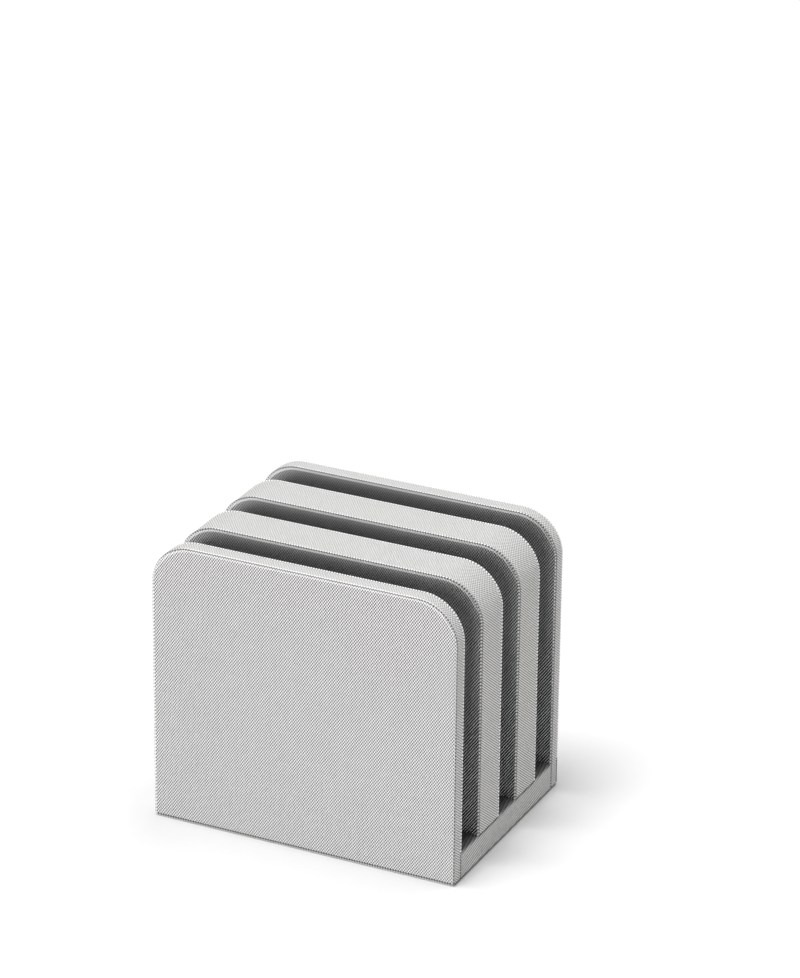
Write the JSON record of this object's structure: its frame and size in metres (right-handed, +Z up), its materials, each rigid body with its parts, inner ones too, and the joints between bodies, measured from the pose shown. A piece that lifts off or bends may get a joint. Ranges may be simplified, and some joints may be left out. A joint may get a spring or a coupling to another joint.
{
  "type": "lid organizer",
  "caption": "Canvas-covered lid rack: thin front and rear walls and thick dividers with rounded top corners stand on a base board, leaving upright slots open at the top and both ends.",
  "frame": {"origin": "centre of the footprint, on the surface the rack stands on", "axes": "+X along the slots, +Y from the front wall to the rear wall, +Z up"},
  "size_m": [0.165, 0.122, 0.15],
  "materials": {
    "canvas": "coarse light grey canvas",
    "edge_canvas": "the same canvas, cut across, its ribs slanting the other way",
    "base_canvas": "finer, smoother grey canvas",
    "felt": "dense grey felt",
    "fibreboard": "raw fibreboard",
    "steel": "zinc-plated screw"
  },
  "bodies": {
    "root": {"front_wall_board": "fibreboard", "front_wall_front_canvas": "canvas", "front_wall_rear_canvas": "canvas", "front_wall_edge_strip": "edge_canvas", "divider_1_board": "fibreboard", "divider_1_front_canvas": "canvas", "divider_1_rear_canvas": "canvas", "divider_1_edge_strip": "edge_canvas", "divider_2_board": "fibreboard", "divider_2_front_canvas": "canvas", "divider_2_rear_canvas": "canvas", "divider_2_edge_strip": "edge_canvas", "rear_wall_board": "fibreboard", "rear_wall_front_canvas": "canvas", "rear_wall_rear_canvas": "canvas", "rear_wall_edge_strip": "edge_canvas", "base_board": "fibreboard", "base_canvas": "base_canvas", "bottom_lining": "felt", "bottom_hem": "canvas", "wall_screws": "steel", "divider_screws": "steel"}
  },
  "joints": []
}
